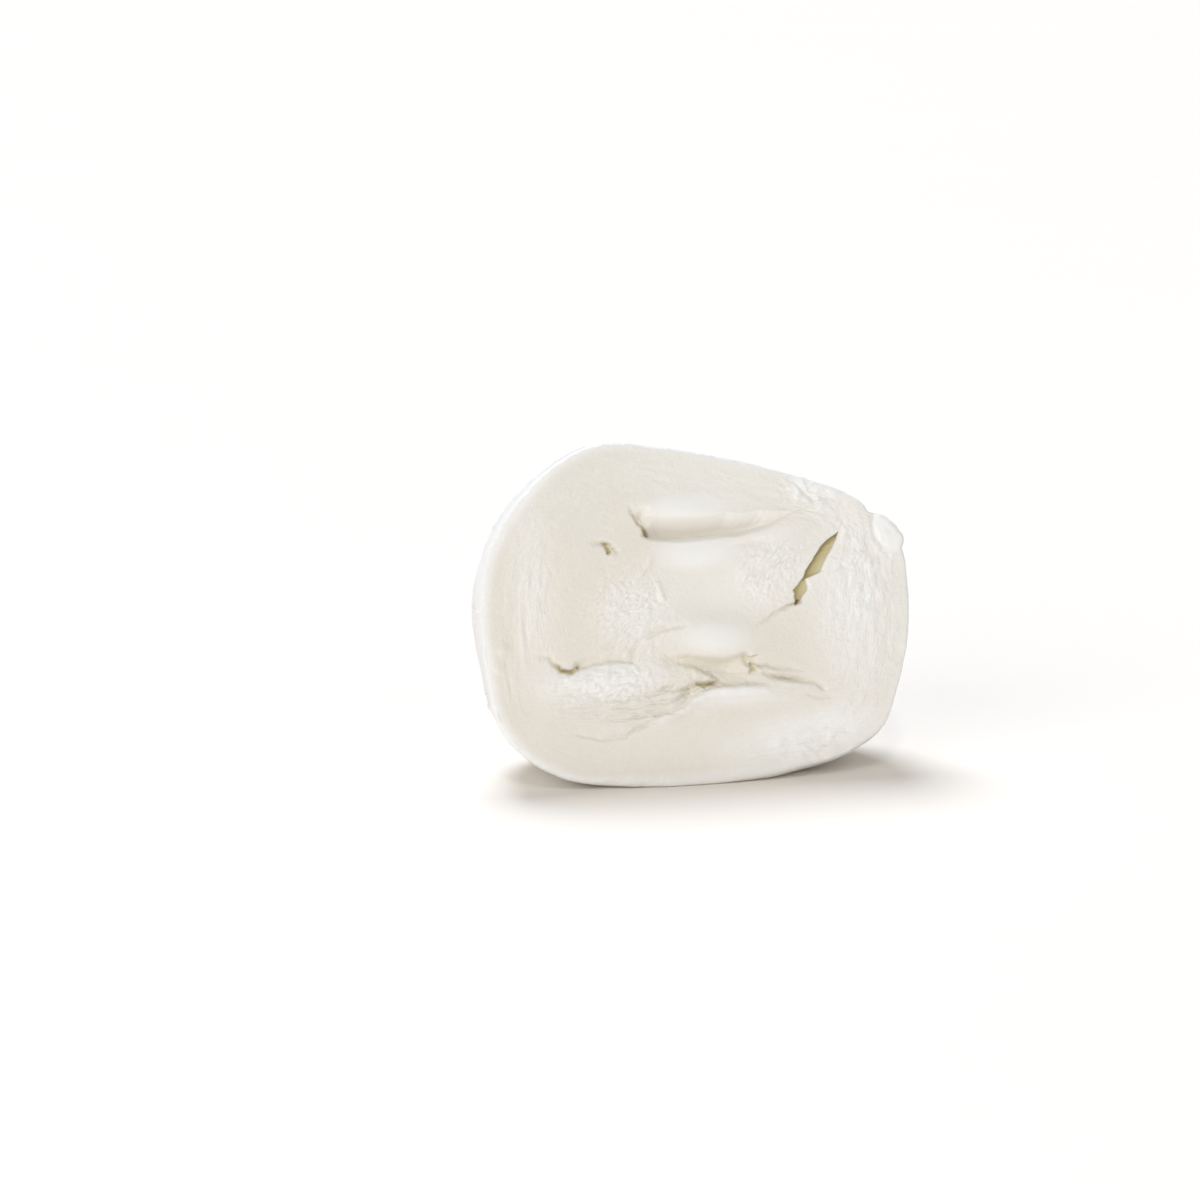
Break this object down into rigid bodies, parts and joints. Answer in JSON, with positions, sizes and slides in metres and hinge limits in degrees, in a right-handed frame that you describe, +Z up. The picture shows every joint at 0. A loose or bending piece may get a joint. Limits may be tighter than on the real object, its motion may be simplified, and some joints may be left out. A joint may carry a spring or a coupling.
{
  "type": "half burrata",
  "caption": "Half of a soft stretched-curd cheese ball, cut through its tied neck, with a curd and cream filling in its thick pouch, standing on its flank.",
  "frame": {"origin": "middle of the bounding box at the level of the foot, on the surface that the half stands on", "axes": "+Z up, -Y the way the cut faces, which leans back 16 degrees, +X to the right along the cut, towards the neck"},
  "size_m": [0.089, 0.0464, 0.0659],
  "materials": {
    "paste": "moist satin, soft stretched-curd cheese, fibrous towards the edge",
    "curd": "moist, stringy and finely grained",
    "cream": "smooth, wet and soft"
  },
  "bodies": {
    "root": {"pouch": "paste", "curd": "curd", "cream": "cream"}
  },
  "joints": []
}
